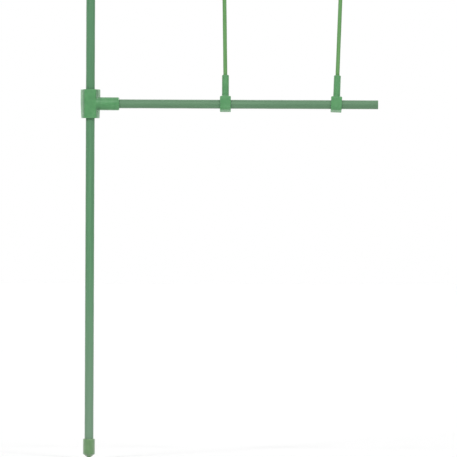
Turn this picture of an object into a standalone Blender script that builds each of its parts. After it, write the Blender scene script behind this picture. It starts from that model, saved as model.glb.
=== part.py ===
"""Plant support: a coated steel post with two clip-on crossbars, and two slim rods held between them.

Metres, +Z up. The tip of the foot is the origin. The crossbars run towards +X and every clip opens
towards +Y.
"""

import math

import bmesh
import bpy
from mathutils import Matrix, Vector

MM = 0.001

# Clearance between two pieces that fit together
CLEARANCE = 0.3 * MM

# Coated steel stake, the stock of the post and the crossbars
STAKE_DIAMETER = 11.0 * MM
STAKE_COAT = 0.6 * MM
STAKE_WALL = 0.7 * MM

# Coated steel rod
ROD_DIAMETER = 5.0 * MM
ROD_COAT = 0.55 * MM

# Post, in two equal sections over a joint pin
POST_SECTION = 600.0 * MM
JOINT_PIN_LENGTH = 80.0 * MM

# Crossbars: the lower one's height above the foot's tip, and the upper one's depth below the post's top
LOWER_BAR_HEIGHT = 437.0 * MM
UPPER_BAR_DEPTH = 147.3 * MM

# Along a bar: post to first rod, first rod to second, and second rod to the bar's free end
FIRST_ROD = 166.4 * MM
ROD_GAP = 136.7 * MM
BAR_OVERHANG = 51.5 * MM

# How far each rod leans towards +X, how far its lower clip does, and how high above the bar their axes cross
FIRST_ROD_LEAN = math.radians(-0.9)
FIRST_CLIP_TILT = 0.0
SECOND_ROD_LEAN = math.radians(2.0)
SECOND_CLIP_TILT = math.radians(2.0)
ROD_CROSSING = 24.0 * MM

# Foot cap, from its tip up
CAP_WALL = 1.6 * MM
CAP_RIM_CHAMFER = 0.8 * MM
FOOT_NUB_DIAMETER = 4.2 * MM
FOOT_NUB = 2.0 * MM
FOOT_CONE_END_DIAMETER = 5.4 * MM
FOOT_CONE = 3.7 * MM
FOOT_SKIRT = 18.6 * MM
FOOT_FLOOR = 2.0 * MM

# Top cap
TOP_SKIRT = 15.0 * MM
TOP_DOME = 4.0 * MM
TOP_CEILING = 2.4 * MM

# T-clip: a body that clips round the post and a socket for the bar
TEE_HEIGHT = 35.6 * MM
TEE_SIDE_WALL = 2.2 * MM
TEE_FRONT_WALL = 2.8 * MM
TEE_CORNER = 3.2 * MM
TEE_LIP_FLARE = 4.5 * MM
TEE_LIP_LOW_FLARE = 3.55 * MM
TEE_MOUTH_ANGLE = math.radians(41.0)
TEE_WEB = 3.2 * MM
SOCKET_WALL = 2.2 * MM
SOCKET_DEPTH = 26.7 * MM
SOCKET_CHAMFER = 1.0 * MM

# Small clip: an open ring round the bar and a stem for the rod
CLIP_LENGTH = 13.4 * MM
CLIP_WALL = 1.4 * MM
CLIP_NOSE_CORNER = 4.6 * MM
CLIP_SHOULDER_WALL = 4.3 * MM
CLIP_SHOULDER_CORNER = 1.4 * MM
CLIP_LIP_FLARE = 2.5 * MM
CLIP_MOUTH_ANGLE = math.radians(33.0)
STEM_HEIGHT = 26.0 * MM
STEM_TOP_WALL = 1.4 * MM
STEM_BASE_WALL = 1.5 * MM
STEM_FILLET = 1.2 * MM
STEM_FLOOR = 1.9 * MM

# Lips that lead a stake into either clip
MOUTH_GRIP = 1.0 * MM
LIP_LENGTH = 4.2 * MM
LIP_ROOT = 1.0 * MM
LIP_ROOT_CORNER = 3.2 * MM
LIP_TIP_CORNER = 0.6 * MM

# Facets, and how far a cutter runs past what it cuts
ROUND_STEPS = 48
ROD_STEPS = 32
CORNER_STEPS = 6
DOME_STEPS = 8
MERGE = 0.001 * MM
CUT_MARGIN = 2.0 * MM
MOUTH_NECK = 0.6 * MM

# Sizes that follow from the ones above
STAKE_RADIUS = STAKE_DIAMETER / 2
STAKE_BORE = STAKE_RADIUS + CLEARANCE
STEEL_RADIUS = STAKE_RADIUS - STAKE_COAT - CLEARANCE
PIN_RADIUS = STEEL_RADIUS - STAKE_WALL - CLEARANCE
ROD_RADIUS = ROD_DIAMETER / 2
ROD_BORE = ROD_RADIUS + CLEARANCE
CAP_RADIUS = STAKE_BORE + CAP_WALL
FOOT_CONE_TOP = FOOT_NUB + FOOT_CONE
FOOT_TOP = FOOT_CONE_TOP + FOOT_SKIRT
POST_START = FOOT_CONE_TOP + FOOT_FLOOR + CLEARANCE
POST_SEAM = POST_START + POST_SECTION
POST_END = POST_SEAM + CLEARANCE + POST_SECTION
UPPER_BAR_HEIGHT = POST_END - UPPER_BAR_DEPTH
BAR_SPACING = UPPER_BAR_HEIGHT - LOWER_BAR_HEIGHT
SECOND_ROD = FIRST_ROD + ROD_GAP
BAR_REACH = SECOND_ROD + BAR_OVERHANG
TEE_HALF_WIDTH = STAKE_BORE + TEE_SIDE_WALL
TEE_FRONT = STAKE_BORE + TEE_FRONT_WALL
SOCKET_RADIUS = STAKE_BORE + SOCKET_WALL
SOCKET_FLOOR = STAKE_BORE + TEE_WEB
SOCKET_REACH = SOCKET_FLOOR + SOCKET_DEPTH
CLIP_FRONT = STAKE_BORE + CLIP_WALL
CLIP_SHOULDER = STAKE_BORE + CLIP_SHOULDER_WALL
STEM_REACH = CLIP_SHOULDER + STEM_HEIGHT
ROD_SEAT = CLIP_SHOULDER + STEM_FLOOR
THROAT = STAKE_RADIUS - MOUTH_GRIP
LIP_REACH = STAKE_BORE + LIP_LENGTH

COAT_GREEN = (0.085, 0.235, 0.115, 1.0)
CLIP_GREEN = (0.100, 0.310, 0.125, 1.0)
ROD_GREEN = (0.140, 0.340, 0.110, 1.0)
STEEL_GREY = (0.520, 0.530, 0.540, 1.0)


def clear_scene():
    for thing in list(bpy.data.objects):
        bpy.data.objects.remove(thing, do_unlink=True)


def new_collection(name):
    group = bpy.data.collections.new(name)
    bpy.context.scene.collection.children.link(group)
    return group


def principled(name, colour, roughness, metallic):
    """A Principled material in one plain colour."""
    material = bpy.data.materials.new(name)
    material.use_nodes = True
    shader = material.node_tree.nodes["Principled BSDF"]
    shader.inputs["Base Color"].default_value = colour
    shader.inputs["Roughness"].default_value = roughness
    shader.inputs["Metallic"].default_value = metallic
    material.diffuse_color = colour
    return material


clear_scene()
PARTS = new_collection("plant_support")
CUTTERS = new_collection("cutters")
COAT = principled("stake_coat", COAT_GREEN, 0.42, 0.0)
CLIP = principled("clip_plastic", CLIP_GREEN, 0.38, 0.0)
ROD_COAT_FINISH = principled("rod_coat", ROD_GREEN, 0.40, 0.0)
STEEL = principled("steel", STEEL_GREY, 0.35, 1.0)


def add_object(name, mesh, group, material=None):
    thing = bpy.data.objects.new(name, mesh)
    group.objects.link(thing)
    if material:
        mesh.materials.append(material)
    return thing


def mark_cutter(thing):
    """A cutter is drawn as wires and isn't part of the model."""
    thing.hide_render = True
    thing.display_type = "WIRE"


def turned(name, profile, group, material=None, closed=False, steps=ROUND_STEPS):
    """A profile of (radius, height) points, outer side from top to bottom, turned about the local Z axis."""
    mesh = bpy.data.meshes.new(name)
    edges = [(i, i + 1) for i in range(len(profile) - 1)]
    if closed:
        edges.append((len(profile) - 1, 0))
    mesh.from_pydata([(radius, 0.0, height) for radius, height in profile], edges, [])
    thing = add_object(name, mesh, group, material)
    screw = thing.modifiers.new("turn", "SCREW")
    screw.axis = "Z"
    screw.steps = steps
    screw.render_steps = steps
    screw.use_merge_vertices = True
    screw.merge_threshold = MERGE
    screw.use_smooth_shade = True
    return thing


def tube(name, outer, inner, low, high, material, steps=ROUND_STEPS):
    """An open tube along the local Z axis."""
    profile = [(outer, high), (outer, low), (inner, low), (inner, high)]
    return turned(name, profile, PARTS, material, closed=True, steps=steps)


def bar(name, radius, low, high, group, material=None, steps=ROUND_STEPS):
    """A solid round bar along the local Z axis."""
    profile = [(0.0, high), (radius, high), (radius, low), (0.0, low)]
    return turned(name, profile, group, material, steps=steps)


def rounded(corners, steps=CORNER_STEPS):
    """The points of a closed outline whose corners (x, y, radius) are rounded by arcs."""
    points = []
    count = len(corners)
    for index, (x, y, radius) in enumerate(corners):
        corner = Vector((x, y))
        if radius == 0.0:
            points.append(corner)
            continue
        back = (Vector(corners[index - 1][:2]) - corner).normalized()
        ahead = (Vector(corners[(index + 1) % count][:2]) - corner).normalized()
        half = back.angle(ahead) / 2
        centre = corner + (back + ahead).normalized() * radius / math.sin(half)
        start = corner + back * radius / math.tan(half) - centre
        sweep = start.angle_signed(corner + ahead * radius / math.tan(half) - centre)
        for step in range(steps + 1):
            points.append(centre + Matrix.Rotation(-sweep * step / steps, 2) @ start)
    return points


def extruded(name, outline, half_depth, group, material=None):
    """A closed flat outline with straight walls, half_depth to each side of its plane."""
    curve = bpy.data.curves.new(name, "CURVE")
    curve.dimensions = "2D"
    curve.fill_mode = "BOTH"
    curve.extrude = half_depth
    spline = curve.splines.new("POLY")
    spline.points.add(len(outline) - 1)
    for point, place in zip(spline.points, outline):
        point.co = (place[0], place[1], 0.0, 1.0)
    spline.use_cyclic_u = True
    guide = bpy.data.objects.new(name + "_outline", curve)
    group.objects.link(guide)
    bpy.context.view_layer.update()
    evaluated = guide.evaluated_get(bpy.context.evaluated_depsgraph_get())
    mesh = bpy.data.meshes.new_from_object(evaluated)
    mesh.name = name
    bpy.data.objects.remove(guide, do_unlink=True)
    work = bmesh.new()
    work.from_mesh(mesh)
    bmesh.ops.remove_doubles(work, verts=work.verts, dist=MERGE)
    bmesh.ops.recalc_face_normals(work, faces=work.faces)
    work.to_mesh(mesh)
    work.free()
    return add_object(name, mesh, group, material)


def combine(thing, other, operation):
    """Joins another object to this one, or cuts it away."""
    mark_cutter(other)
    modifier = thing.modifiers.new(other.name, "BOOLEAN")
    modifier.operation = operation
    modifier.solver = "EXACT"
    modifier.object = other


def place(thing, matrix):
    thing.matrix_world = matrix
    return thing


def along_x(z, x=0.0):
    """A place on a bar's axis whose local Z axis runs along +X."""
    return Matrix.Translation((x, 0.0, z)) @ Matrix.Rotation(math.radians(90.0), 4, "Y")


def leaning(x, z, lean):
    """A place whose local Z axis leans from +Z towards +X."""
    return Matrix.Translation((x, 0.0, z)) @ Matrix.Rotation(lean, 4, "Y")


def smooth(thing):
    """Round faces are shaded smooth and edges stay crisp."""
    thing.data.shade_smooth()
    thing.data.set_sharp_from_angle(angle=math.radians(30.0))


def mouth(name, half_length, angle):
    """The prism that opens a clip towards +Y, flared so that its lips lead a stake in."""
    start = math.sqrt(STAKE_BORE**2 - THROAT**2)
    neck = THROAT - MOUTH_NECK
    far = LIP_REACH + CUT_MARGIN
    wide = THROAT + (far - start) * math.tan(angle)
    outline = [
        (-neck, 0.0),
        (neck, 0.0),
        (THROAT, start),
        (wide, far),
        (-wide, far),
        (-THROAT, start),
    ]
    return extruded(name, outline, half_length + CUT_MARGIN, CUTTERS)


def foot_cap():
    bore_floor = FOOT_CONE_TOP + FOOT_FLOOR
    profile = [
        (0.0, bore_floor),
        (STAKE_BORE, bore_floor),
        (STAKE_BORE, FOOT_TOP),
        (CAP_RADIUS - CAP_RIM_CHAMFER, FOOT_TOP),
        (CAP_RADIUS, FOOT_TOP - 2 * CAP_RIM_CHAMFER),
        (CAP_RADIUS, FOOT_CONE_TOP),
        (FOOT_CONE_END_DIAMETER / 2, FOOT_NUB),
        (FOOT_NUB_DIAMETER / 2, FOOT_NUB),
        (FOOT_NUB_DIAMETER / 2, 0.0),
        (0.0, 0.0),
    ]
    return turned("foot_cap", profile, PARTS, CLIP)


def top_cap():
    ceiling = POST_END + CLEARANCE
    crown = ceiling + TOP_CEILING
    shoulder = crown - TOP_DOME
    bottom = ceiling - TOP_SKIRT
    profile = []
    for step in range(DOME_STEPS + 1):
        angle = math.radians(90.0) * step / DOME_STEPS
        profile.append((CAP_RADIUS * math.sin(angle), shoulder + TOP_DOME * math.cos(angle)))
    profile += [
        (CAP_RADIUS, bottom + 2 * CAP_RIM_CHAMFER),
        (CAP_RADIUS - CAP_RIM_CHAMFER, bottom),
        (STAKE_BORE, bottom),
        (STAKE_BORE, ceiling),
        (0.0, ceiling),
    ]
    return turned("top_cap", profile, PARTS, CLIP)


def coated_stake(name, low, high):
    """A steel tube and its plastic coat, along the local Z axis."""
    coat = tube(name + "_sheath", STAKE_RADIUS, STAKE_RADIUS - STAKE_COAT, low, high, COAT)
    steel = tube(name + "_tube", STEEL_RADIUS, STEEL_RADIUS - STAKE_WALL, low, high, STEEL)
    return [coat, steel]


def joint_pin():
    low = POST_SEAM + (CLEARANCE - JOINT_PIN_LENGTH) / 2
    return bar("post_joint_pin", PIN_RADIUS, low, low + JOINT_PIN_LENGTH, PARTS, STEEL)


def coated_rod(name, rod_place, length):
    """A steel core and its plastic coat, from the lower clip's seat to the upper clip's."""
    low = ROD_SEAT + CLEARANCE
    high = length - ROD_SEAT - CLEARANCE
    inner = ROD_RADIUS - ROD_COAT
    coat = tube(name + "_sheath", ROD_RADIUS, inner, low, high, ROD_COAT_FINISH, ROD_STEPS)
    core = bar(name + "_core", inner - CLEARANCE, low, high, PARTS, STEEL, ROD_STEPS)
    return [place(piece, rod_place) for piece in (coat, core)]


def tee_socket(name):
    """The round socket of a T-clip, along the local Z axis from the post's axis outwards."""
    profile = [
        (0.0, SOCKET_REACH),
        (SOCKET_RADIUS - SOCKET_CHAMFER, SOCKET_REACH),
        (SOCKET_RADIUS, SOCKET_REACH - SOCKET_CHAMFER),
        (SOCKET_RADIUS, STAKE_RADIUS / 2),
        (0.0, STAKE_RADIUS / 2),
    ]
    return turned(name, profile, CUTTERS)


def tee_taper(name, side):
    """A wedge that trims one lip of a T-clip from the bar's height down to the clip's lower end."""
    tip = TEE_HALF_WIDTH + TEE_LIP_FLARE
    slope = (TEE_LIP_FLARE - TEE_LIP_LOW_FLARE) / (TEE_HEIGHT / 2)
    below = TEE_HEIGHT / 2 + CUT_MARGIN
    far = tip + CUT_MARGIN
    outline = [
        (side * tip, 0.0),
        (side * far, 0.0),
        (side * far, -below),
        (side * (tip - slope * below), -below),
    ]
    return extruded(name, outline, LIP_REACH + CUT_MARGIN, CUTTERS)


def t_clip(name, height):
    """A body that clips round the post and a socket for the crossbar, moulded in one piece."""
    tip = TEE_HALF_WIDTH + TEE_LIP_FLARE
    outline = rounded(
        [
            (-TEE_HALF_WIDTH, -TEE_FRONT, TEE_CORNER),
            (TEE_HALF_WIDTH, -TEE_FRONT, TEE_CORNER),
            (TEE_HALF_WIDTH, LIP_ROOT, LIP_ROOT_CORNER),
            (tip, LIP_REACH, LIP_TIP_CORNER),
            (-tip, LIP_REACH, LIP_TIP_CORNER),
            (-TEE_HALF_WIDTH, LIP_ROOT, LIP_ROOT_CORNER),
        ]
    )
    level = Matrix.Translation((0.0, 0.0, height))
    facing = level @ Matrix.Rotation(math.radians(90.0), 4, "X")
    body = place(extruded(name, outline, TEE_HEIGHT / 2, PARTS, CLIP), level)
    for side, word in ((-1, "left"), (1, "right")):
        wedge = place(tee_taper(f"{name}_{word}_taper", side), facing)
        combine(body, wedge, "DIFFERENCE")
    socket = place(tee_socket(name + "_socket"), along_x(height))
    combine(body, socket, "UNION")
    reach = TEE_HEIGHT / 2 + CUT_MARGIN
    post_bore = place(bar(name + "_post_bore", STAKE_BORE, -reach, reach, CUTTERS), level)
    combine(body, post_bore, "DIFFERENCE")
    opening = place(mouth(name + "_mouth", TEE_HEIGHT / 2, TEE_MOUTH_ANGLE), level)
    combine(body, opening, "DIFFERENCE")
    bar_bore = bar(name + "_bar_bore", STAKE_BORE, SOCKET_FLOOR, SOCKET_REACH + CUT_MARGIN, CUTTERS)
    combine(body, place(bar_bore, along_x(height)), "DIFFERENCE")
    smooth(body)
    return body


def clip_stem(name):
    """The tapered stem of a small clip, along the local Z axis, with a fillet onto its shoulder."""
    base = ROD_BORE + STEM_BASE_WALL
    profile = [(0.0, STEM_REACH), (ROD_BORE + STEM_TOP_WALL, STEM_REACH)]
    for step in range(CORNER_STEPS + 1):
        angle = math.radians(90.0) * step / CORNER_STEPS
        radius = base + STEM_FILLET * (1 - math.cos(angle))
        profile.append((radius, CLIP_SHOULDER + STEM_FILLET * (1 - math.sin(angle))))
    profile += [(base + STEM_FILLET, CLIP_FRONT), (0.0, CLIP_FRONT)]
    return turned(name, profile, CUTTERS)


def small_clip(name, clip_place, bar_place, rod_place, rod_low, rod_high):
    """An open ring round the bar and a stem for the rod, whose bore runs from rod_low to rod_high."""
    outline = rounded(
        [
            (-CLIP_FRONT, -CLIP_FRONT, CLIP_NOSE_CORNER),
            (CLIP_SHOULDER, -CLIP_FRONT, CLIP_SHOULDER_CORNER),
            (CLIP_SHOULDER, LIP_REACH, LIP_TIP_CORNER),
            (-CLIP_FRONT - CLIP_LIP_FLARE, LIP_REACH, LIP_TIP_CORNER),
            (-CLIP_FRONT, LIP_ROOT, LIP_ROOT_CORNER),
        ]
    )
    across = clip_place @ Matrix.Rotation(math.radians(-90.0), 4, "Y")
    body = place(extruded(name, outline, CLIP_LENGTH / 2, PARTS, CLIP), across)
    combine(body, place(clip_stem(name + "_stem"), clip_place), "UNION")
    opening = place(mouth(name + "_mouth", CLIP_LENGTH / 2, CLIP_MOUTH_ANGLE), across)
    combine(body, opening, "DIFFERENCE")
    bar_bore = place(bar(name + "_bar_bore", STAKE_BORE, -CLIP_LENGTH, CLIP_LENGTH, CUTTERS), bar_place)
    combine(body, bar_bore, "DIFFERENCE")
    rod_bore = bar(name + "_rod_bore", ROD_BORE, rod_low, rod_high, CUTTERS, steps=ROD_STEPS)
    combine(body, place(rod_bore, rod_place), "DIFFERENCE")
    smooth(body)
    return body


def rod_with_clips(name, x, lean, lower_tilt):
    """A leaning rod, its clip on the lower bar and its clip, stem down, on the upper bar."""
    length = BAR_SPACING / math.cos(lean)
    lower_place = leaning(x, LOWER_BAR_HEIGHT, lower_tilt)
    crossing = lower_place @ Vector((0.0, 0.0, ROD_CROSSING))
    rod_x = crossing.x - (crossing.z - LOWER_BAR_HEIGHT) * math.tan(lean)
    upper_x = rod_x + BAR_SPACING * math.tan(lean)
    rod_place = leaning(rod_x, LOWER_BAR_HEIGHT, lean)
    stem_down = leaning(upper_x, UPPER_BAR_HEIGHT, lean) @ Matrix.Rotation(math.radians(180.0), 4, "Y")
    mouth_of_stem = STEM_REACH + CUT_MARGIN
    lower = small_clip(
        name + "_lower_clip",
        lower_place,
        along_x(LOWER_BAR_HEIGHT, x),
        rod_place,
        ROD_SEAT,
        mouth_of_stem,
    )
    upper = small_clip(
        name + "_upper_clip",
        stem_down,
        along_x(UPPER_BAR_HEIGHT, upper_x),
        rod_place,
        length - mouth_of_stem,
        length - ROD_SEAT,
    )
    return [*coated_rod(name, rod_place, length), lower, upper]


def crossbar(name, height):
    """A coated stake from the floor of the T-clip's socket to its free end."""
    pieces = coated_stake(name, SOCKET_FLOOR + CLEARANCE, BAR_REACH)
    return [place(piece, along_x(height)) for piece in pieces]


def carry(name, x, z, pieces, parent=None):
    """An empty on a joint's axis that carries the pieces of one moving body."""
    holder = bpy.data.objects.new(name, None)
    PARTS.objects.link(holder)
    holder.matrix_world = Matrix.Translation((x, 0.0, z))
    bpy.context.view_layer.update()
    for piece in pieces:
        matrix = piece.matrix_world.copy()
        piece.parent = holder
        piece.matrix_world = matrix
    if parent:
        matrix = holder.matrix_world.copy()
        holder.parent = parent
        holder.matrix_world = matrix
    return holder


def build():
    foot = carry("foot_carrier", 0.0, 0.0, [foot_cap()])
    post_pieces = coated_stake("post_lower", POST_START, POST_SEAM)
    post_pieces += coated_stake("post_upper", POST_SEAM + CLEARANCE, POST_END)
    post_pieces += [joint_pin(), top_cap()]
    post = carry("post_carrier", 0.0, 0.0, post_pieces, foot)
    panel_pieces = [t_clip("lower_t_clip", LOWER_BAR_HEIGHT), t_clip("upper_t_clip", UPPER_BAR_HEIGHT)]
    panel_pieces += crossbar("lower_bar", LOWER_BAR_HEIGHT) + crossbar("upper_bar", UPPER_BAR_HEIGHT)
    panel = carry("panel_carrier", 0.0, LOWER_BAR_HEIGHT, panel_pieces, post)
    first = rod_with_clips("rod_1", FIRST_ROD, FIRST_ROD_LEAN, FIRST_CLIP_TILT)
    carry("rod_1_carrier", FIRST_ROD, LOWER_BAR_HEIGHT, first, panel)
    second = rod_with_clips("rod_2", SECOND_ROD, SECOND_ROD_LEAN, SECOND_CLIP_TILT)
    carry("rod_2_carrier", SECOND_ROD, LOWER_BAR_HEIGHT, second, panel)


build()
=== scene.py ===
"""Looks of the plant support: its coats, steel, clips and caps, with a camera, a floor and soft light.

Metres, +Z up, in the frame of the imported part. The post stands on Z, the bars run towards +X and every
clip opens towards +Y. Each piece is a surface worked out with numpy, with its place in its mesh.
"""

import math

import bpy
import numpy as np
from mathutils import Matrix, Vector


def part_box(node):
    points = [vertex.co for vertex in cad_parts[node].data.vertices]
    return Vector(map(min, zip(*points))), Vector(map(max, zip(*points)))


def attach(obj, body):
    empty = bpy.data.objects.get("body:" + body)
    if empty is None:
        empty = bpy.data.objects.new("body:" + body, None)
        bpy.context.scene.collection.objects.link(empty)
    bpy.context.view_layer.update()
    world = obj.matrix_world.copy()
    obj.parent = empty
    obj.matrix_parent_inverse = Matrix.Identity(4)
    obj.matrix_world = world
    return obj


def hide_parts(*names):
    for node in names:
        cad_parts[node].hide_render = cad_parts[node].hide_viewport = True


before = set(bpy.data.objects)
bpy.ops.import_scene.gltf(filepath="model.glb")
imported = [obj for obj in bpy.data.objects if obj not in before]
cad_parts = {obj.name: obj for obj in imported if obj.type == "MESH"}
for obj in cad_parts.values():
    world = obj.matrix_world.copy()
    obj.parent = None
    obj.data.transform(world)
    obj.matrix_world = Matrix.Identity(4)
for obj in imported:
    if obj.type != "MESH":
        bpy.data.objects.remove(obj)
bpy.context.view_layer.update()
MM = 0.001

# Directions of the post and of the bars
UP = (0.0, 0.0, 1.0)
ACROSS = (1.0, 0.0, 0.0)

# Gap between two pieces that fit together
CLEARANCE = 0.3 * MM

# Coats of the stakes and rods
COAT_CUT_EDGE = 0.22 * MM
COAT_WAVE = 0.05 * MM
COAT_WAVE_LENGTH = 46.0 * MM
COAT_ROW = 6.0 * MM
COAT_BOND = 0.05 * MM
STEEL_CUT_EDGE = 0.12 * MM

# Foot cap and top cap
CAP_RIM_DROP = 1.0 * MM
CAP_RIM_INSET = 0.5 * MM
CAP_EDGE = 0.4 * MM
NUB_RADIUS = 2.1 * MM
NUB_HEIGHT = 2.0 * MM
CONE_END_RADIUS = 2.7 * MM
CONE_HEIGHT = 3.7 * MM
CONE_EDGE = 0.9 * MM
DOME_HEIGHT = 4.0 * MM

# Throat and bore of every clip that holds a stake
THROAT_GRIP = 1.0 * MM
THROAT_CORNER = 0.6 * MM
BORE_EDGE = 0.45 * MM

# T-clip
TEE_HALF_WIDTH = 8.0 * MM
TEE_CORNER = 3.2 * MM
TEE_TIP = 12.5 * MM
TEE_LOW_TIP = 11.55 * MM
TEE_LIP_CREASE = 0.8 * MM
TEE_MOUTH = math.radians(41.0)
TEE_EDGE = 0.55 * MM
TEE_SOCKET_START = 6.4 * MM
SOCKET_RADIUS = 8.0 * MM
SOCKET_FLOOR = 9.0 * MM
SOCKET_CHAMFER = 1.0 * MM
SOCKET_EDGE = 0.3 * MM
SOCKET_FILLET = 1.1 * MM
TEE_STEP = 0.32 * MM

# Small clip
CLIP_HALF_LENGTH = 6.7 * MM
CLIP_NOSE = 7.2 * MM
CLIP_NOSE_CORNER = 4.6 * MM
CLIP_SHOULDER = 10.1 * MM
CLIP_SHOULDER_CORNER = 1.4 * MM
CLIP_TIP = 9.7 * MM
CLIP_MOUTH = math.radians(33.0)
CLIP_EDGE = 0.8 * MM
STEM_START = 8.0 * MM
STEM_REACH = 36.1 * MM
STEM_BASE_RADIUS = 4.3 * MM
STEM_TOP_RADIUS = 4.2 * MM
STEM_FILLET = 1.2 * MM
ROD_BORE = 2.8 * MM
ROD_BORE_EDGE = 0.35 * MM
ROD_SEAT = 12.0 * MM
CLIP_STEP = 0.28 * MM
LOWER_CLIP_TILT = {"rod_1": 0.0, "rod_2": math.radians(2.0)}
ROD_CROSSING = 24.0 * MM

# Lips of either clip
LIP_ROOT = 1.0 * MM
LIP_REACH = 10.0 * MM
LIP_ROOT_CORNER = 3.2 * MM
LIP_CORNER = 0.6 * MM

# Facets round a stake, round a rod, along a rounded corner and along the dome
STAKE_STEPS = 96
ROD_STEPS = 64
CORNER_STEPS = 5
DOME_STEPS = 16

# Level surfaces: rounds in which the points settle, and the least slope, squared, that they settle by
SETTLING_ROUNDS = 4
LEAST_SLOPE = 0.05

# Camera, as if through a long lens from straight in front
CAMERA_LENS = 600.0
CAMERA_SENSOR = 36.0
CAMERA_DISTANCE = 9.384
CAMERA_ACROSS = 0.17085
CAMERA_HEIGHT = 0.28392
CAMERA_ROLL = math.radians(0.23)

# Light
AMBIENT = 0.35
KEY_STRENGTH = 0.95
KEY_SPREAD = math.radians(6.0)
KEY_LEAN = math.radians(52.0)
KEY_SIDE = math.radians(24.0)
RIM_STRENGTH = 0.75
RIM_SPREAD = math.radians(20.0)
RIM_LEAN = math.radians(58.0)
RIM_SIDE = math.radians(140.0)
OVERHEAD_STRENGTH = 0.3
OVERHEAD_SPREAD = math.radians(75.0)
FLOOR_SIZE = 60.0
FLOOR_PALE = (0.9, 0.9, 0.9, 1.0)
FLOOR_GLOW = 0.045

# Finishes, as linear colours
COAT_DEEP = (0.072, 0.211, 0.098, 1.0)
COAT_GREEN = (0.088, 0.247, 0.116, 1.0)
# Paler and greyer colour towards the post's foot, also the colour of scuffs and dust
COAT_PALE_GREY = (0.156, 0.262, 0.174, 1.0)
CLIP_DEEP = (0.077, 0.265, 0.099, 1.0)
CLIP_GREEN = (0.098, 0.304, 0.118, 1.0)
# Painted light on the clip's lips, paler as if light shone through them; also the colour of scuffs and
# dust
CLIP_LIP_LIGHT_AND_WEAR = (0.165, 0.355, 0.180, 1.0)
TEE_DEEP = (0.068, 0.254, 0.090, 1.0)
TEE_GREEN = (0.087, 0.292, 0.109, 1.0)
# Painted shade on the T-clip's rounded sides
TEE_SIDE_SHADE = (0.060, 0.215, 0.082, 1.0)
# Painted light on the T-clip's lips, paler as if light shone through them; also the colour of scuffs and
# dust
TEE_LIP_LIGHT_AND_WEAR = (0.300, 0.500, 0.320, 1.0)
CAP_DEEP = (0.105, 0.227, 0.090, 1.0)
CAP_GREEN = (0.130, 0.264, 0.110, 1.0)
# Painted light on the back of each cap on Y, paler as if lit from behind; also the colour of scuffs and
# dust
CAP_BACK_LIGHT_AND_WEAR = (0.200, 0.340, 0.180, 1.0)
ROD_DEEP = (0.094, 0.256, 0.070, 1.0)
ROD_GREEN = (0.120, 0.308, 0.093, 1.0)
BAR_DEEP = (0.088, 0.199, 0.103, 1.0)
BAR_GREEN = (0.106, 0.232, 0.121, 1.0)
DIE_LINE_SHADE = 0.8
STEEL_DARK = (0.36, 0.37, 0.38, 1.0)
STEEL_PALE = (0.60, 0.61, 0.62, 1.0)

# Roughness: the middle value of the coats, and the least of moulded plastic and of steel
STAKE_ROUGHNESS = 0.55
ROD_ROUGHNESS = 0.5
PLASTIC_ROUGHNESS = 0.26
STEEL_ROUGHNESS = 0.22

# Patterns, as marks per metre, and how many times longer than wide a drawn line is
STREAKS = 900.0
STREAK_STRETCH = 60.0
STEEL_LINES = 1600.0
STEEL_STRETCH = 90.0
PEEL = 2200.0
GRAIN = 2600.0
FLOW_MARKS = 140.0
SCUFF_LINES = 190.0
SCUFF_PATCHES = 70.0
DUST_SPECKS = 900.0
SHADES = 9.0
STAINS = 120.0

# Relief of each surface, the mould's line, and how far light spreads in moulded plastic
COAT_RELIEF = 0.14 * MM
PLASTIC_RELIEF = 0.09 * MM
STEEL_RELIEF = 0.05 * MM
SEAM_WIDTH = 0.22 * MM
SPREAD = 1.5 * MM

# Where the colour changes: paler and greyer up the post towards its foot, painted light on Y along a
# clip's lips, painted shade on Y along a T-clip's sides, and neither on X past a T-clip's lips
FOOT_TINT_HEIGHT = 280.0 * MM
CLIP_LIP = (3.0 * MM, LIP_REACH)
TEE_LIP = (1.5 * MM, 6.0 * MM)
TEE_SHADED_SIDES = (-8.3 * MM, -5.8 * MM)
LIP_END = 1.0 * MM


def add_piece(name, vertices, quads, triangles=()):
    """Whole arrays of vertices and faces as a smooth mesh, in an object at the origin."""
    corners = np.concatenate([np.ravel(quads), np.ravel(triangles)]).astype(np.int32)
    sizes = np.repeat((4, 3), (len(quads), len(triangles)))
    mesh = bpy.data.meshes.new(name)
    mesh.vertices.add(len(vertices))
    mesh.vertices.foreach_set("co", np.ravel(vertices).astype(np.float32))
    mesh.loops.add(len(corners))
    mesh.loops.foreach_set("vertex_index", corners)
    mesh.polygons.add(len(sizes))
    mesh.polygons.foreach_set("loop_start", (np.cumsum(sizes) - sizes).astype(np.int32))
    mesh.polygons.foreach_set("use_smooth", np.ones(len(sizes), bool))
    mesh.update(calc_edges=True)
    mesh.validate()
    piece = bpy.data.objects.new(name, mesh)
    bpy.context.scene.collection.objects.link(piece)
    return piece


def finish_piece(piece, material, body, slot, *nodes):
    piece.data.materials.append(material)
    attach(piece, body)
    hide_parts(*nodes)
    return piece


def round_node(name):
    """Start, direction, length and radius of a round node. The axis passes through its points' centre,
    along the direction in which they spread most."""
    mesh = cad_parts[name].data
    points = np.empty(3 * len(mesh.vertices))
    mesh.vertices.foreach_get("co", points)
    points = np.unique(points.reshape(-1, 3).round(7), axis=0)
    centre = points.mean(axis=0)
    direction = np.linalg.svd(points - centre)[2][0]
    direction *= np.sign(direction.sum())
    along = (points - centre) @ direction
    radius = np.linalg.norm(points - centre - np.outer(along, direction), axis=1).max()
    return centre - direction * along.max(), direction, np.ptp(along), radius


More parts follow.
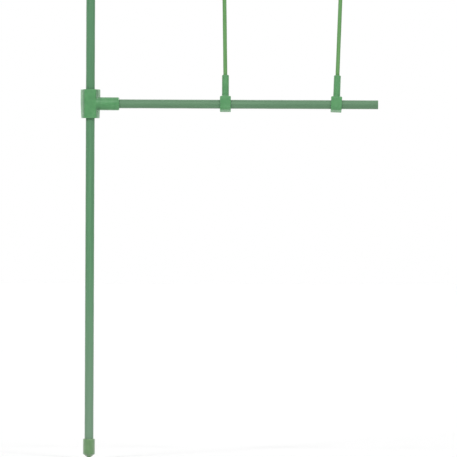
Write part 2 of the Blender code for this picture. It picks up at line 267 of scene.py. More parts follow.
def softened(corners, closed=True):
    """Points of an outline whose corners (x, y, radius) are rounded. A corner's arc is centre + (start -
    centre) turned in equal steps, on complex numbers, with start where the arc touches the edge."""
    count = len(corners)
    places = [complex(x, y) for x, y, _ in corners]
    points = []
    for index, (x, y, radius) in enumerate(corners):
        at_end = not closed and index in (0, count - 1)
        if radius == 0.0 or at_end:
            points.append(np.array([complex(x, y)]))
            continue
        back = places[index - 1] - places[index]
        ahead = places[(index + 1) % count] - places[index]
        back /= abs(back)
        ahead /= abs(ahead)
        opening = np.angle(ahead / back)
        half = abs(opening) / 2
        start = places[index] + back * radius / math.tan(half)
        centre = places[index] + (back + ahead) / abs(back + ahead) * radius / math.sin(half)
        sweep = -np.sign(opening) * (math.pi - 2 * half)
        turns = np.exp(1j * sweep * np.linspace(0, 1, CORNER_STEPS + 1))
        points.append(centre + (start - centre) * turns)
    outline = np.concatenate(points)
    return np.column_stack([outline.real, outline.imag])


def with_rows(profile, spacing):
    """The closed profile with further points, so that none of its edges is longer than the spacing."""
    rows = []
    for start, end in zip(profile, np.roll(profile, -1, axis=0)):
        count = max(1, math.ceil(np.linalg.norm(end - start) / spacing))
        rows.append(start + (end - start) * (np.arange(count) / count)[:, None])
    return np.concatenate(rows)


def turned(name, profile, start, direction, steps, dip=None):
    """A profile of (radius, height) points turned about an axis. It runs up the outside, in across the
    top and down the bore, and is either closed or starts and ends on the axis.

    Vertex (i, j) is start + height_i * direction + (radius_i - dip_ij) * (cos a_j * side + sin a_j *
    back), with a_j = 2 pi j / steps.
    """
    closed = profile[0][0] > 0.0
    rows = profile if closed else profile[1:-1]
    radius, height = rows[:, :1], rows[:, 1:]
    angle = 2 * math.pi * np.arange(steps) / steps
    side = np.cross((0.0, 1.0, 0.0), direction)
    back = np.cross(direction, side)
    ring = np.outer(np.cos(angle), side) + np.outer(np.sin(angle), back)
    if dip:
        radius = radius - dip(radius, height, angle)
    radius = np.broadcast_to(radius, (len(rows), steps))
    vertices = start + height[:, :, None] * direction + radius[:, :, None] * ring
    vertices = vertices.reshape(-1, 3)
    index = np.arange(len(rows) * steps).reshape(len(rows), steps)
    low, high = (index, np.roll(index, -1, axis=0)) if closed else (index[:-1], index[1:])
    quads = np.stack([low, np.roll(low, -1, axis=1), np.roll(high, -1, axis=1), high], axis=-1)
    if closed:
        return add_piece(name, vertices, quads.reshape(-1, 4))
    poles = start + np.outer((profile[0][1], profile[-1][1]), direction)
    first, last = len(vertices), len(vertices) + 1
    below = np.column_stack([np.full(steps, first), np.roll(index[0], -1), index[0]])
    above = np.column_stack([np.full(steps, last), index[-1], np.roll(index[-1], -1)])
    vertices = np.concatenate([vertices, poles])
    return add_piece(name, vertices, quads.reshape(-1, 4), np.concatenate([below, above]))


def coat_wave(outer, inner):
    """How far a coat's outer face dips below its full radius: (1 + sin(2 pi h / length + sin 2a)) / 2
    of the wave's depth, and nothing on the bore."""

    def dip(radius, height, angle):
        swell = (1 + np.sin(2 * math.pi * height / COAT_WAVE_LENGTH + np.sin(2 * angle))) / 2
        return COAT_WAVE * swell * (radius > (outer + inner) / 2)

    return dip


def tube(name, node, outer, inner, edge, steps, dip=None):
    """An open tube along a round node's axis, with softened cut edges."""
    start, direction, length, _ = round_node(node)
    corners = [
        (outer, 0.0, edge),
        (outer, length, edge),
        (inner, length, edge / 2),
        (inner, 0.0, edge / 2),
    ]
    profile = with_rows(softened(corners), COAT_ROW)
    return turned(name, profile, start, direction, steps, dip)


def solid_bar(name, node, edge, steps):
    """A solid bar along a round node's axis, with softened ends."""
    start, direction, length, radius = round_node(node)
    corners = [(0.0, 0.0, 0.0), (radius, 0.0, edge), (radius, length, edge), (0.0, length, 0.0)]
    return turned(name, softened(corners, closed=False), start, direction, steps)


def rounded_max(a, b, radius, cosine=0.0):
    """The part that two shapes share, from their distances a and b, with the edge between them rounded.

    With both faces drawn in by the radius, the distance near the edge is that to the line where they
    cross, sqrt(a^2 + b^2 - 2ab c) / sqrt(1 - c^2), where c is the cosine between the faces' normals.
    """
    a = a + radius
    b = b + radius
    near_edge = (a > cosine * b) & (b > cosine * a)
    corner = np.sqrt(np.maximum(a * a + b * b - 2 * cosine * a * b, 0.0) / (1 - cosine**2))
    return np.where(near_edge, corner, np.maximum(a, b)) - radius


def rounded_min(a, b, radius, cosine=0.0):
    """Two shapes together, from their distances, with a fillet where they meet."""
    return -rounded_max(-a, -b, radius, cosine)


def line_distance(u, v, start, end):
    """Distance of (u, v) to the right of the line from start to end."""
    du, dv = end[0] - start[0], end[1] - start[1]
    return ((u - start[0]) * dv - (v - start[1]) * du) / math.hypot(du, dv)


def level_surface(field, low, high, step):
    """Vertices and quads where field(x, y, z) is zero, in a box. The field is negative inside the shape.

    The box is a grid of cubes. Each cube that the surface passes through has one vertex, the mean of the
    points where the surface crosses the cube's edges, which then moves along the field's gradient g by
    field / |g|^2 until it lies on the surface. Each grid edge that the surface crosses gives one quad,
    from the four cubes round that edge.
    """
    axes = [np.arange(a, b + step, step) for a, b in zip(low, high)]
    values = field(*np.meshgrid(*axes, indexing="ij"))
    inside = values < 0
    counts = np.array(values.shape)
    corners = np.array([[i, j, k] for i in (0, 1) for j in (0, 1) for k in (0, 1)])
    filled = np.zeros(counts - 1, int)
    for corner in corners:
        filled += inside[tuple(slice(c, c + n - 1) for c, n in zip(corner, counts))]
    active = (filled > 0) & (filled < 8)
    cells = np.argwhere(active)
    number = np.full(active.shape, -1)
    number[active] = np.arange(len(cells))
    total = np.zeros((len(cells), 3))
    crossings = np.zeros((len(cells), 1))
    for first in corners:
        for axis in np.flatnonzero(first == 0):
            second = first + np.eye(3, dtype=int)[axis]
            a = values[tuple((cells + first).T)]
            b = values[tuple((cells + second).T)]
            cut = ((a < 0) != (b < 0))[:, None]
            share = np.where(cut[:, 0], a / np.where(a == b, 1.0, a - b), 0.0)[:, None]
            total += cut * (first + share * (second - first))
            crossings += cut
    points = np.array(low) + (cells + total / crossings) * step
    reach = step / 8
    for _ in range(SETTLING_ROUNDS):
        rise = [field(*(points + shift).T) - field(*(points - shift).T) for shift in reach * np.eye(3)]
        slope = np.stack(rise, axis=1) / (2 * reach)
        steepness = np.maximum((slope**2).sum(axis=1), LEAST_SLOPE)
        move = -slope * (field(*points.T) / steepness)[:, None]
        points += np.clip(move, -step / 2, step / 2)
    quads = []
    for axis in range(3):
        lower = np.take(inside, range(counts[axis] - 1), axis)
        upper = np.take(inside, range(1, counts[axis]), axis)
        edges = np.argwhere(lower != upper)
        second, third = np.eye(3, dtype=int)[(axis + 1) % 3], np.eye(3, dtype=int)[(axis + 2) % 3]
        around = [edges - second - third, edges - third, edges, edges - second]
        quad = np.stack([number[tuple(cell.T)] for cell in around], axis=1)
        leaving = lower[tuple(edges.T)]
        quad[~leaving] = quad[~leaving][:, ::-1]
        quads.append(quad)
    return points, np.concatenate(quads)


def bore_and_mouth(across, back, radial, opening):
    """The space that a stake is pushed into: its bore, and the wedge that leads to it past the throat."""
    bore = STAKE_RADIUS + CLEARANCE
    throat = STAKE_RADIUS - THROAT_GRIP
    depth = math.sqrt(bore**2 - throat**2)
    wedge = (np.abs(across) - throat) * math.cos(opening) - (back - depth) * math.sin(opening)
    return rounded_min(radial - bore, wedge, THROAT_CORNER)


def flared_side(across, back, half_width, tip, crease):
    """The side of a clip's section: straight at half_width, then out to the lip's tip, with a fillet
    between them and a rounded tip."""
    straight = across - half_width
    flare = line_distance(across, back, (half_width, LIP_ROOT), (tip, LIP_REACH))
    slant = math.atan2(tip - half_width, LIP_REACH - LIP_ROOT)
    side = rounded_min(straight, flare, crease, math.cos(slant))
    return rounded_max(side, back - LIP_REACH, LIP_CORNER, -math.sin(slant))


def t_clip(name, bar_node, tee_node):
    """A body that clips round the post, joined by a fillet to a socket for the bar.

    The body is a section with flared lips, carried up the post. Below the bar its lips narrow: there the
    distance across counts as more, in step with the depth and with how far back the lip has reached.
    """
    height = round_node(bar_node)[0][2]
    low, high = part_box(tee_node)
    half_height = (high.z - low.z) / 2

    def field(x, y, z):
        z = z - height
        lip = np.clip((y - LIP_ROOT) / (LIP_REACH - LIP_ROOT), 0.0, 1.0)
        narrowing = (TEE_TIP - TEE_LOW_TIP) * np.clip(-z / half_height, 0.0, 1.0) * lip
        section = flared_side(np.abs(x) + narrowing, y, TEE_HALF_WIDTH, TEE_TIP, TEE_LIP_CREASE)
        section = rounded_max(section, low.y - y, TEE_CORNER)
        body = rounded_max(section, np.abs(z) - half_height, TEE_EDGE)
        from_bar = np.hypot(y, z)
        socket = from_bar - SOCKET_RADIUS
        end = x - high.x
        chamfer = (socket + end + SOCKET_CHAMFER) * math.sqrt(0.5)
        socket = rounded_max(socket, chamfer, SOCKET_EDGE, math.sqrt(0.5))
        socket = rounded_max(socket, end, SOCKET_EDGE, math.sqrt(0.5))
        socket = np.maximum(socket, TEE_SOCKET_START - x)
        body = rounded_min(body, socket, SOCKET_FILLET)
        bar_bore = np.maximum(from_bar - STAKE_RADIUS - CLEARANCE, SOCKET_FLOOR - x)
        body = rounded_max(body, -bar_bore, BORE_EDGE)
        return rounded_max(body, -bore_and_mouth(x, y, np.hypot(x, y), TEE_MOUTH), BORE_EDGE)

    margin = 2 * TEE_STEP
    vertices, quads = level_surface(field, np.array(low) - margin, np.array(high) + margin, TEE_STEP)
    return add_piece(name, vertices, quads)


def small_clip(name, place, rod, bar_height):
    """A ring that clips round a bar, joined by a fillet to a tapered stem that holds a rod.

    The ring's section, with its round nose at the front below, is carried along the bar. Its local Z
    runs up the stem. The bar's bore and the rod's bore follow the bar's and the rod's own axes.
    """
    rod_start, rod_direction = rod
    turn = np.array(place.to_3x3())
    origin = np.array(place.translation)

    def field(x, y, z):
        world = [x * row[0] + y * row[1] + z * row[2] + shift for row, shift in zip(turn, origin)]
        section = flared_side(-z, y, CLIP_NOSE, CLIP_TIP, LIP_ROOT_CORNER)
        section = rounded_max(section, -y - CLIP_NOSE, CLIP_NOSE_CORNER)
        corner = np.where(y < 0, CLIP_SHOULDER_CORNER, LIP_CORNER)
        section = rounded_max(section, z - CLIP_SHOULDER, corner)
        ring = rounded_max(section, np.abs(x) - CLIP_HALF_LENGTH, CLIP_EDGE)
        share = (z - CLIP_SHOULDER) / (STEM_REACH - CLIP_SHOULDER)
        stem = np.hypot(x, y) - STEM_BASE_RADIUS - (STEM_TOP_RADIUS - STEM_BASE_RADIUS) * share
        stem = rounded_max(stem, z - STEM_REACH, CLIP_EDGE)
        body = rounded_min(ring, np.maximum(stem, STEM_START - z), STEM_FILLET)
        offset = [world[row] - rod_start[row] for row in range(3)]
        along = sum(offset[row] * rod_direction[row] for row in range(3))
        from_rod = np.sqrt(np.maximum(sum(part**2 for part in offset) - along**2, 0.0))
        body = rounded_max(body, -np.maximum(from_rod - ROD_BORE, ROD_SEAT - along), ROD_BORE_EDGE)
        from_bar = np.hypot(world[1], world[2] - bar_height)
        return rounded_max(body, -bore_and_mouth(z, y, from_bar, CLIP_MOUTH), BORE_EDGE)

    margin = 2 * CLIP_STEP
    low = np.array((-CLIP_HALF_LENGTH, -CLIP_NOSE, -CLIP_TIP)) - margin
    high = np.array((CLIP_HALF_LENGTH, LIP_REACH, STEM_REACH)) + margin
    vertices, quads = level_surface(field, low, high, CLIP_STEP)
    return add_piece(name, vertices @ turn.T + origin, quads)


def rod_clips(rod, lower_bar, upper_bar):
    """A rod's two clips. The lower clip's axis crosses the rod's a little above the bar, and the upper
    clip, turned stem down, shares the rod's axis.

    The lower clip's origin is on_bar + rod * crossing * clip_z / rod_z - clip * crossing.
    """
    start, direction, _, _ = round_node(rod + "_sheath")
    lean = math.atan2(direction[0], direction[2])
    clips = []
    for word, bar_height, sign in (("lower", lower_bar, 1), ("upper", upper_bar, -1)):
        on_bar = start + direction * (bar_height - start[2]) / direction[2]
        tilt = LOWER_CLIP_TILT[rod] if sign > 0 else lean + math.pi
        origin = on_bar
        if sign > 0:
            clip_axis = np.array((math.sin(tilt), 0.0, math.cos(tilt)))
            crossing = on_bar + direction * ROD_CROSSING * clip_axis[2] / direction[2]
            origin = crossing - clip_axis * ROD_CROSSING
        place = Matrix.Translation(origin) @ Matrix.Rotation(tilt, 4, "Y")
        clips.append(small_clip(f"{rod}_{word}_holder", place, (on_bar, direction * sign), bar_height))
    return clips


def foot_cap():
    """The foot's profile: nub, cone and skirt outside, and a flat-bottomed bore."""
    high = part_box("foot_cap")[1]
    bore = STAKE_RADIUS + CLEARANCE
    cone_top = NUB_HEIGHT + CONE_HEIGHT
    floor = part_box("post_lower_sheath")[0].z - CLEARANCE
    corners = [
        (0.0, 0.0, 0.0),
        (NUB_RADIUS, 0.0, CAP_EDGE),
        (NUB_RADIUS, NUB_HEIGHT, CAP_EDGE / 2),
        (CONE_END_RADIUS, NUB_HEIGHT, CAP_EDGE / 2),
        (high.x, cone_top, CONE_EDGE),
        (high.x, high.z - CAP_RIM_DROP, CAP_EDGE),
        (high.x - CAP_RIM_INSET, high.z, CAP_EDGE / 2),
        (bore, high.z, CAP_EDGE / 2),
        (bore, floor, CAP_EDGE),
        (0.0, floor, 0.0),
    ]
    profile = softened(corners, closed=False)
    return turned("foot_end", profile, np.zeros(3), np.array(UP), STAKE_STEPS)


def top_cap():
    """The top cap's profile: bore, rim and skirt, then a dome (R cos a, shoulder + dome * sin a)."""
    low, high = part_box("top_cap")
    bore = STAKE_RADIUS + CLEARANCE
    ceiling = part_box("post_upper_sheath")[1].z + CLEARANCE
    corners = [
        (0.0, ceiling, 0.0),
        (bore, ceiling, CAP_EDGE),
        (bore, low.z, CAP_EDGE / 2),
        (high.x - CAP_RIM_INSET, low.z, CAP_EDGE / 2),
        (high.x, low.z + CAP_RIM_DROP, CAP_EDGE),
        (high.x, high.z - DOME_HEIGHT, 0.0),
    ]
    angle = np.linspace(0.0, math.pi / 2, DOME_STEPS + 1)[1:]
    dome = np.column_stack([high.x * np.cos(angle), high.z - DOME_HEIGHT + DOME_HEIGHT * np.sin(angle)])
    profile = np.concatenate([softened(corners, closed=False), dome])
    return turned("top_end", profile, np.zeros(3), np.array(UP), STAKE_STEPS)


def add_node(tree, kind, values=None, **settings):
    """A shader node with its settings, and its sockets by name or number: a value or a socket to link."""
    made = tree.nodes.new(kind)
    for key, value in settings.items():
        setattr(made, key, value)
    for key, value in (values or {}).items():
        if isinstance(value, bpy.types.NodeSocket):
            tree.links.new(value, made.inputs[key])
        else:
            made.inputs[key].default_value = value
    return made


def calculate(tree, operation, *values, clamp=False):
    numbered = dict(enumerate(values))
    return add_node(tree, "ShaderNodeMath", numbered, operation=operation, use_clamp=clamp).outputs[0]


def mix_colour(tree, share, first, second):
    """A mix of two colours. A Mix node's colours are its inputs 6 and 7, counted from 0."""
    made = add_node(tree, "ShaderNodeMix", {0: share, 6: first, 7: second}, data_type="RGBA")
    return made.outputs[2]


def ramp(tree, value, low, high):
    """0 below low, 1 above high and smooth between."""
    values = {"Value": value, "From Min": low, "From Max": high}
    made = add_node(tree, "ShaderNodeMapRange", values, interpolation_type="SMOOTHSTEP")
    return made.outputs["Result"]


def noise(tree, vector, scale, detail=2.0, roughness=0.5):
    values = {"Vector": vector, "Scale": scale, "Detail": detail, "Roughness": roughness}
    return add_node(tree, "ShaderNodeTexNoise", values).outputs["Fac"]


def new_group(name, inputs, outputs):
    """An empty node group with float or vector sockets. Returns it with its input and output nodes."""
    group = bpy.data.node_groups.new(name, "ShaderNodeTree")
    for socket, default in inputs.items():
        kind = "NodeSocketVector" if socket == "Vector" else "NodeSocketFloat"
        made = group.interface.new_socket(socket, in_out="INPUT", socket_type=kind)
        if default is not None:
            made.default_value = default
    for socket in outputs:
        group.interface.new_socket(socket, in_out="OUTPUT", socket_type="NodeSocketFloat")
    return group, group.nodes.new("NodeGroupInput"), group.nodes.new("NodeGroupOutput")


def drawn_streaks():
    """Lines left by a die, along Z: noise that is squeezed along Z, in a broad and a fine width. Peel is
    the even, slightly pebbled skin between them."""
    defaults = {"Vector": None, "Per metre": STREAKS, "Stretch": STREAK_STRETCH}
    group, given, result = new_group("Drawn streaks", defaults, ("Broad", "Fine", "Peel"))
    along = calculate(group, "DIVIDE", given.outputs["Per metre"], given.outputs["Stretch"])
    across = given.outputs["Per metre"]
    scale = add_node(group, "ShaderNodeCombineXYZ", {"X": across, "Y": across, "Z": along}).outputs[0]
    squeezed = add_node(
        group, "ShaderNodeVectorMath", {0: given.outputs["Vector"], 1: scale}, operation="MULTIPLY"
    ).outputs[0]
    group.links.new(noise(group, squeezed, 0.35, 2.0), result.inputs["Broad"])
    group.links.new(noise(group, squeezed, 1.6, 4.0, 0.6), result.inputs["Fine"])
    group.links.new(noise(group, given.outputs["Vector"], PEEL, 3.0, 0.55), result.inputs["Peel"])
    return group


def moulded_skin():
    """Moulded plastic: slow flow marks, a fine grain, and the raised line where the mould closed, on the
    plane Y = 0."""
    defaults = {"Vector": None, "Seam width": SEAM_WIDTH}
    group, given, result = new_group("Moulded skin", defaults, ("Flow", "Grain", "Seam"))
    vector = given.outputs["Vector"]
    group.links.new(noise(group, vector, FLOW_MARKS, 3.0, 0.55), result.inputs["Flow"])
    group.links.new(noise(group, vector, GRAIN, 3.0, 0.6), result.inputs["Grain"])
    y = add_node(group, "ShaderNodeSeparateXYZ", {"Vector": vector}).outputs["Y"]
    off_seam = calculate(group, "DIVIDE", calculate(group, "ABSOLUTE", y), given.outputs["Seam width"])
    seam = calculate(group, "SUBTRACT", 1.0, ramp(group, off_seam, 0.0, 1.0))
    group.links.new(seam, result.inputs["Seam"])
    return group


def handling_marks():
    """Hairline scuffs, which are thin bands of a noise, and pale dust that keeps to upward faces."""
    defaults = {"Vector": None, "Scuffs": 0.3, "Dust": 0.3}
    group, given, result = new_group("Handling marks", defaults, ("Scuff", "Dust"))
    vector = given.outputs["Vector"]
    lines = noise(group, vector, SCUFF_LINES, 1.5, 0.4)
    band = calculate(group, "ABSOLUTE", calculate(group, "SUBTRACT", lines, 0.5))
    thin = calculate(group, "SUBTRACT", 1.0, ramp(group, band, 0.0, 0.014))
    patches = ramp(group, noise(group, vector, SCUFF_PATCHES), 0.45, 0.62)
    scuff = calculate(group, "MULTIPLY", thin, patches)
    group.links.new(calculate(group, "MULTIPLY", scuff, given.outputs["Scuffs"]), result.inputs["Scuff"])
    normal = add_node(group, "ShaderNodeNewGeometry").outputs["Normal"]
    facing = add_node(group, "ShaderNodeSeparateXYZ", {"Vector": normal}).outputs["Z"]
    upward = ramp(group, facing, 0.2, 1.0)
    specks = ramp(group, noise(group, vector, DUST_SPECKS, 4.0, 0.7), 0.48, 0.7)
    settled = calculate(group, "MULTIPLY", upward, calculate(group, "ADD", specks, 0.25))
    group.links.new(calculate(group, "MULTIPLY", settled, given.outputs["Dust"]), result.inputs["Dust"])
    return group


STREAK_GROUP = drawn_streaks()
SKIN_GROUP = moulded_skin()
MARK_GROUP = handling_marks()


def use_group(tree, group, **values):
    made = tree.nodes.new("ShaderNodeGroup")
    made.node_tree = group
    for key, value in values.items():
        socket = made.inputs[key.replace("_", " ")]
        if isinstance(value, bpy.types.NodeSocket):
            tree.links.new(value, socket)
        else:
            socket.default_value = value
    return made.outputs


def new_material(name, viewport_colour):
    material = bpy.data.materials.new(name)
    material.use_nodes = True
    material.diffuse_color = viewport_colour
    return material, material.node_tree, material.node_tree.nodes["Principled BSDF"]


def lengthwise(tree, direction):
    """Object coordinates turned so that Z runs along the piece."""
    place = add_node(tree, "ShaderNodeTexCoord").outputs["Object"]
    lean = math.atan2(direction[0], direction[2])
    values = {"Vector": place, "Rotation": (0.0, -lean, 0.0)}
    return add_node(tree, "ShaderNodeMapping", values).outputs["Vector"]


def add_relief(tree, shader, height, strength, distance):
    values = {"Strength": strength, "Distance": distance, "Height": height}
    tree.links.new(add_node(tree, "ShaderNodeBump", values).outputs["Normal"], shader.inputs["Normal"])


def coated(name, direction, deep, pale, roughness, foot_tint=None):
    """An extruded plastic coat: darker and paler streaks along it, dark lines from the die, a slow change
    of shade, light scuffs and dust. Towards the foot it may turn paler and greyer, by its height in
    Object coordinates."""
    material, tree, shader = new_material(name, pale)
    vector = lengthwise(tree, direction)
    streaks = use_group(tree, STREAK_GROUP, Vector=vector)
    marks = use_group(tree, MARK_GROUP, Vector=vector, Scuffs=0.7, Dust=0.3)
    shade = mix_colour(tree, ramp(tree, streaks["Broad"], 0.35, 0.65), deep, pale)
    die_line = tuple(DIE_LINE_SHADE * part for part in deep[:3]) + (1.0,)
    lined = calculate(tree, "MULTIPLY", ramp(tree, streaks["Fine"], 0.5, 0.66), 0.8)
    shade = mix_colour(tree, lined, shade, die_line)
    slow = ramp(tree, noise(tree, vector, SHADES), 0.35, 0.65)
    shade = mix_colour(tree, calculate(tree, "MULTIPLY", slow, 0.25), shade, deep)
    if foot_tint:
        place = add_node(tree, "ShaderNodeTexCoord").outputs["Object"]
        height = add_node(tree, "ShaderNodeSeparateXYZ", {"Vector": place}).outputs["Z"]
        near_foot = calculate(tree, "SUBTRACT", 1.0, ramp(tree, height, 0.0, FOOT_TINT_HEIGHT))
        shade = mix_colour(tree, calculate(tree, "MULTIPLY", near_foot, 0.85), shade, foot_tint)
    worn = calculate(tree, "ADD", marks["Scuff"], marks["Dust"], clamp=True)
    shade = mix_colour(tree, calculate(tree, "MULTIPLY", worn, 0.5), shade, COAT_PALE_GREY)
    tree.links.new(shade, shader.inputs["Base Color"])
    dull = calculate(tree, "MULTIPLY_ADD", streaks["Fine"], 0.12, roughness - 0.06)
    tree.links.new(calculate(tree, "MULTIPLY_ADD", worn, 0.2, dull), shader.inputs["Roughness"])
    relief = calculate(tree, "MULTIPLY_ADD", streaks["Fine"], -0.5, streaks["Broad"])
    relief = calculate(tree, "MULTIPLY_ADD", streaks["Peel"], 0.3, relief)
    add_relief(tree, shader, relief, 0.8, COAT_RELIEF)
    shader.inputs["Sheen Weight"].default_value = 1.0
    shader.inputs["Sheen Roughness"].default_value = 0.3
    return material


def moulded(name, deep, pale, thin, lip, shaded_sides=None, side_shade=None, reach=None, sheen=0.0):
    """Injection-moulded plastic: flow marks, fine grain and the mould's closing line. On Y, the colour
    turns from the front's to a darker painted shade on the sides, between the two places given for them,
    and to a paler painted light on the lips, as if light shone through the thin plastic, between the two
    in lip.
    Beyond reach, on X, there are neither."""
    material, tree, shader = new_material(name, pale)
    place = add_node(tree, "ShaderNodeTexCoord").outputs["Object"]
    skin = use_group(tree, SKIN_GROUP, Vector=place)
    marks = use_group(tree, MARK_GROUP, Vector=place, Scuffs=0.6, Dust=0.25)
    shade = mix_colour(tree, ramp(tree, skin["Flow"], 0.3, 0.7), deep, pale)
    axes = add_node(tree, "ShaderNodeSeparateXYZ", {"Vector": place}).outputs
    body = 1.0
    if reach:
        body = calculate(tree, "SUBTRACT", 1.0, ramp(tree, axes["X"], reach, reach + LIP_END))
    # Painted shade: the sides, between the two places on Y, turn darker
    if shaded_sides:
        side = calculate(tree, "MULTIPLY", ramp(tree, axes["Y"], *shaded_sides), body)
        shade = mix_colour(tree, calculate(tree, "MULTIPLY", side, 0.8), shade, side_shade)
    # Painted light: the lips, between the two places on Y, turn paler, as if light shone through thin
    # plastic
    painted_lip_light = calculate(tree, "MULTIPLY", ramp(tree, axes["Y"], *lip), body)
    shade = mix_colour(tree, calculate(tree, "MULTIPLY", painted_lip_light, 0.85), shade, thin)
    # Scuffs and dust take the same pale colour
    worn = calculate(tree, "ADD", marks["Scuff"], marks["Dust"], clamp=True)
    shade = mix_colour(tree, calculate(tree, "MULTIPLY", worn, 0.4), shade, thin)
    tree.links.new(shade, shader.inputs["Base Color"])
    dull = calculate(tree, "MULTIPLY_ADD", skin["Grain"], 0.14, PLASTIC_ROUGHNESS)
    tree.links.new(calculate(tree, "MULTIPLY_ADD", worn, 0.2, dull), shader.inputs["Roughness"])
    grain = calculate(tree, "MULTIPLY", skin["Grain"], 0.6)
    relief = calculate(tree, "MULTIPLY_ADD", skin["Seam"], 1.2, grain)
    add_relief(tree, shader, relief, 0.8, PLASTIC_RELIEF)
    shader.inputs["Sheen Weight"].default_value = sheen
    shader.inputs["Subsurface Weight"].default_value = 0.3
    shader.inputs["Subsurface Radius"].default_value = (0.5, 1.0, 0.5)
    shader.inputs["Subsurface Scale"].default_value = SPREAD
    return material


def drawn_steel(name, direction):
    """Bare drawn steel: bright and dull lines along it, with a few darker stains."""
    material, tree, shader = new_material(name, STEEL_PALE)
    vector = lengthwise(tree, direction)
    streaks = use_group(tree, STREAK_GROUP, Vector=vector, Per_metre=STEEL_LINES, Stretch=STEEL_STRETCH)
    stains = ramp(tree, noise(tree, vector, STAINS, 4.0, 0.6), 0.55, 0.75)
    shade = mix_colour(tree, streaks["Broad"], STEEL_DARK, STEEL_PALE)
    shade = mix_colour(tree, calculate(tree, "MULTIPLY", stains, 0.35), shade, STEEL_DARK)
    tree.links.new(shade, shader.inputs["Base Color"])
    shader.inputs["Metallic"].default_value = 1.0
    dull = calculate(tree, "MULTIPLY_ADD", streaks["Fine"], 0.2, STEEL_ROUGHNESS)
    tree.links.new(dull, shader.inputs["Roughness"])
    add_relief(tree, shader, streaks["Fine"], 0.4, STEEL_RELIEF)
    return material


def add_stake(name, body, along):
    """One length of coated steel stake: the coat and the tube that it is bonded to."""
    coat_node, tube_node = name + "_sheath", name + "_tube"
    outer = round_node(coat_node)[3]
    steel_outer = round_node(tube_node)[3]
    steel_inner = steel_outer - STEEL_WALL
    coat_inner = steel_outer + COAT_BOND
    wave = coat_wave(outer, coat_inner)
    coat = tube(name + "_coat", coat_node, outer, coat_inner, COAT_CUT_EDGE, STAKE_STEPS, wave)
    finish_piece(coat, COAT_FINISH[along], body, "stake_coat", coat_node)
    steel = tube(name + "_steel", tube_node, steel_outer, steel_inner, STEEL_CUT_EDGE, STAKE_STEPS)
    finish_piece(steel, STEEL_FINISH[along], body, "steel", tube_node)


def add_rod(name, lower_bar, upper_bar):
    """One slim rod with its coat, its steel core and its two clips."""
    coat_node, core_node = name + "_sheath", name + "_core"
    _, direction, _, outer = round_node(coat_node)
    coat_inner = round_node(core_node)[3] + COAT_BOND
    wave = coat_wave(outer, coat_inner)
    coat = tube(name + "_coat", coat_node, outer, coat_inner, COAT_CUT_EDGE, ROD_STEPS, wave)
    finish = coated(name + " coat", direction, ROD_DEEP, ROD_GREEN, ROD_ROUGHNESS)
    finish_piece(coat, finish, name, "rod_coat", coat_node)
    core = solid_bar(name + "_wire", core_node, STEEL_CUT_EDGE, ROD_STEPS)
    finish_piece(core, STEEL_FINISH["up"], name, "steel", core_node)
    lower, upper = rod_clips(name, lower_bar, upper_bar)
    finish_piece(lower, CLIP_FINISH, name, "clip_plastic", name + "_lower_clip")
    finish_piece(upper, CLIP_FINISH, name, "clip_plastic", name + "_upper_clip")


def add_floor():
    """A pale table at the foot's tip, with a faint glow of its own, so that it is white apart from the
    object's shadow."""
    half = FLOOR_SIZE / 2
    corners = np.array([(-half, -half, 0.0), (half, -half, 0.0), (half, half, 0.0), (-half, half, 0.0)])
    floor = add_piece("floor", corners, np.array([(0, 1, 2, 3)]))
    material, _, shader = new_material("Pale floor", FLOOR_PALE)
    shader.inputs["Base Color"].default_value = FLOOR_PALE
    shader.inputs["Roughness"].default_value = 0.9
    shader.inputs["Specular IOR Level"].default_value = 0.0
    shader.inputs["Emission Color"].default_value = (1.0, 1.0, 1.0, 1.0)
    shader.inputs["Emission Strength"].default_value = FLOOR_GLOW
    floor.data.materials.append(material)


def add_lamp(name, strength, spread, turn):
    sun = bpy.data.lights.new(name, "SUN")
    sun.energy = strength
    sun.angle = spread
    lamp = bpy.data.objects.new(name, sun)
    lamp.rotation_euler = turn
    bpy.context.scene.collection.objects.link(lamp)


def add_light():
    """An even surround, which is white to the camera, in reflections and through clear material, a key
    light on each side of the camera, a rim light on each side behind the object and a broad light
    overhead."""
    world = bpy.data.worlds.new("Surround")
    world.use_nodes = True
    bpy.context.scene.world = world
    tree = world.node_tree
    path = add_node(tree, "ShaderNodeLightPath").outputs
    seen = calculate(tree, "MAXIMUM", path["Is Camera Ray"], path["Is Glossy Ray"])
    seen = calculate(tree, "MAXIMUM", seen, path["Is Transmission Ray"])
    strength = calculate(tree, "MULTIPLY_ADD", seen, 1.0 - AMBIENT, AMBIENT)
    background = tree.nodes["Background"]
    background.inputs["Color"].default_value = (1.0, 1.0, 1.0, 1.0)
    tree.links.new(strength, background.inputs["Strength"])
    for side, sign in (("left", -1), ("right", 1)):
        add_lamp(side + "_key", KEY_STRENGTH, KEY_SPREAD, (KEY_LEAN, 0.0, sign * KEY_SIDE))
        add_lamp(side + "_rim", RIM_STRENGTH, RIM_SPREAD, (RIM_LEAN, 0.0, sign * RIM_SIDE))
    add_lamp("overhead_light", OVERHEAD_STRENGTH, OVERHEAD_SPREAD, (0.0, 0.0, 0.0))


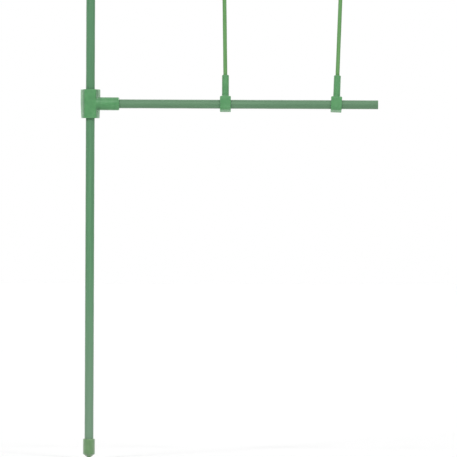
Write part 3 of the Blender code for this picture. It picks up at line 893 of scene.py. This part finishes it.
def add_camera():
    lens = bpy.data.cameras.new("camera")
    lens.lens = CAMERA_LENS
    lens.sensor_width = CAMERA_SENSOR
    camera = bpy.data.objects.new("camera", lens)
    level = Matrix.Rotation(math.radians(90.0), 4, "X")
    roll = Matrix.Rotation(CAMERA_ROLL, 4, "Z")
    place = Matrix.Translation((CAMERA_ACROSS, -CAMERA_DISTANCE, CAMERA_HEIGHT))
    camera.matrix_world = place @ level @ roll
    bpy.context.scene.collection.objects.link(camera)
    bpy.context.scene.camera = camera
    bpy.context.scene.view_settings.view_transform = "Standard"


STAKE_RADIUS = round_node("post_lower_sheath")[3]
STEEL_WALL = round_node("post_lower_tube")[3] - round_node("post_joint_pin")[3] - CLEARANCE
LOWER_BAR = round_node("lower_bar_sheath")[0][2]
UPPER_BAR = round_node("upper_bar_sheath")[0][2]
COAT_FINISH = {
    "up": coated("Post coat", UP, COAT_DEEP, COAT_GREEN, STAKE_ROUGHNESS, COAT_PALE_GREY),
    "across": coated("Bar coat", ACROSS, BAR_DEEP, BAR_GREEN, STAKE_ROUGHNESS),
}
STEEL_FINISH = {"up": drawn_steel("Steel upright", UP), "across": drawn_steel("Steel crosswise", ACROSS)}
TEE_FINISH = moulded(
    "Tee plastic", TEE_DEEP, TEE_GREEN, TEE_LIP_LIGHT_AND_WEAR, TEE_LIP, shaded_sides=TEE_SHADED_SIDES, side_shade=TEE_SIDE_SHADE, reach=TEE_TIP
)
CLIP_FINISH = moulded("Clip plastic", CLIP_DEEP, CLIP_GREEN, CLIP_LIP_LIGHT_AND_WEAR, CLIP_LIP)
CAP_FINISH = moulded("Cap plastic", CAP_DEEP, CAP_GREEN, CAP_BACK_LIGHT_AND_WEAR, CLIP_LIP, sheen=0.7)

add_camera()
add_light()
add_floor()
for section in ("post_lower", "post_upper"):
    add_stake(section, "post", "up")
for crossbar in ("lower_bar", "upper_bar"):
    add_stake(crossbar, "panel", "across")
pin = solid_bar("post_pin", "post_joint_pin", STEEL_CUT_EDGE, STAKE_STEPS)
finish_piece(pin, STEEL_FINISH["up"], "post", "steel", "post_joint_pin")
finish_piece(foot_cap(), CAP_FINISH, "foot", "clip_plastic", "foot_cap")
finish_piece(top_cap(), CAP_FINISH, "post", "clip_plastic", "top_cap")
for level in ("lower", "upper"):
    tee = t_clip(level + "_tee", level + "_bar_sheath", level + "_t_clip")
    finish_piece(tee, TEE_FINISH, "panel", "clip_plastic", level + "_t_clip")
for rod in ("rod_1", "rod_2"):
    add_rod(rod, LOWER_BAR, UPPER_BAR)
